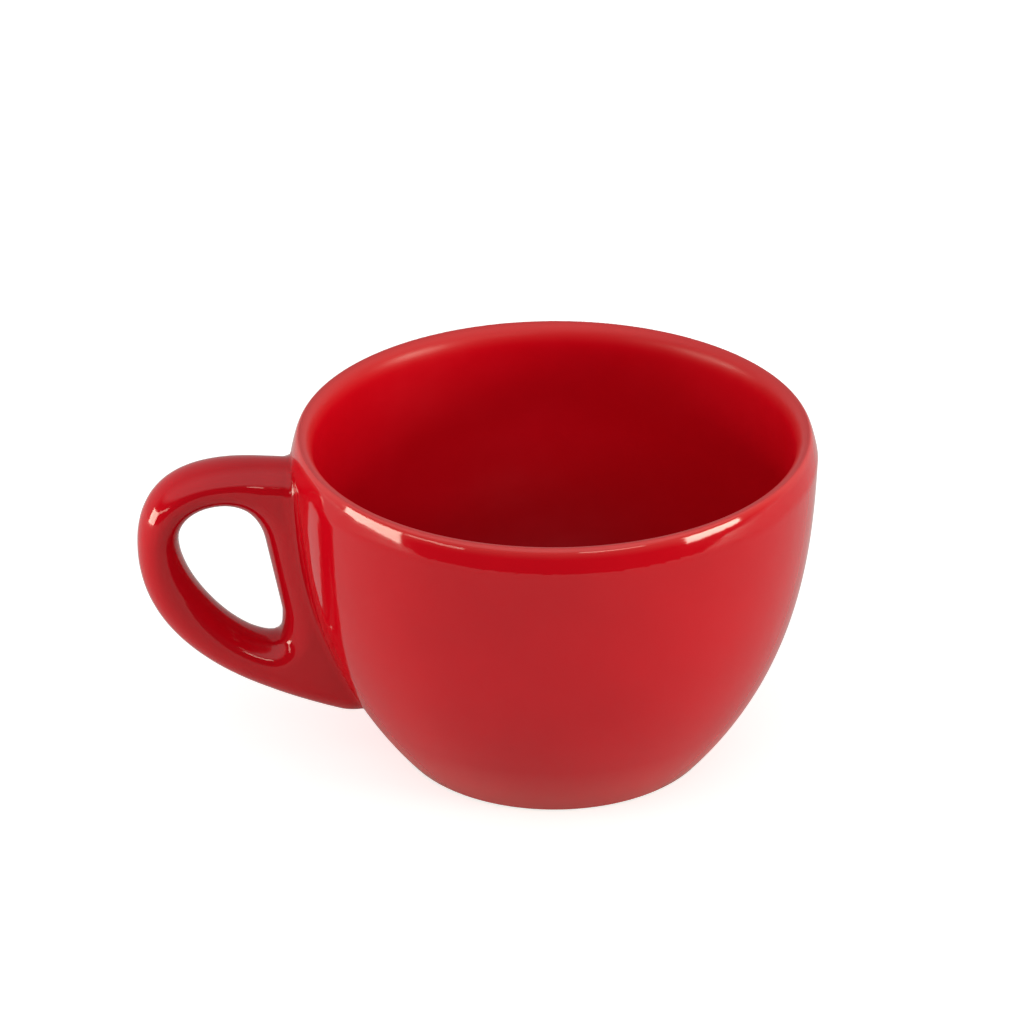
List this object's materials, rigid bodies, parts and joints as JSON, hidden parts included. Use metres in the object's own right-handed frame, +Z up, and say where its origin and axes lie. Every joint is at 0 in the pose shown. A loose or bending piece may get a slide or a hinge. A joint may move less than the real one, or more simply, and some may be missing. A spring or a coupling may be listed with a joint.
{
  "type": "coffee cup",
  "caption": "Round-bellied ceramic coffee cup with a rolled lip, a closed loop handle with a finger hole, and a bare foot ring, glazed glossy red inside and out.",
  "frame": {"origin": "table level under the middle of the whole part; the bowl's own axis stands 14.8 mm towards +X from it", "axes": "+Z up out of the cup, +X from the handle towards the bowl, the handle lying in the plane y = 0 on the -X side"},
  "size_m": [0.1296, 0.1, 0.0661],
  "materials": {
    "clay": "bare fired stoneware, fine grain",
    "slip": "bare fired slip",
    "inside_glaze": "glossy red glaze",
    "outside_glaze": "glossy red glaze"
  },
  "bodies": {
    "root": {"cup_body": "clay", "handle": "clay", "handle_slip": "slip", "inside_glaze": "inside_glaze", "outside_glaze": "outside_glaze", "base_glaze": "outside_glaze"}
  },
  "joints": []
}
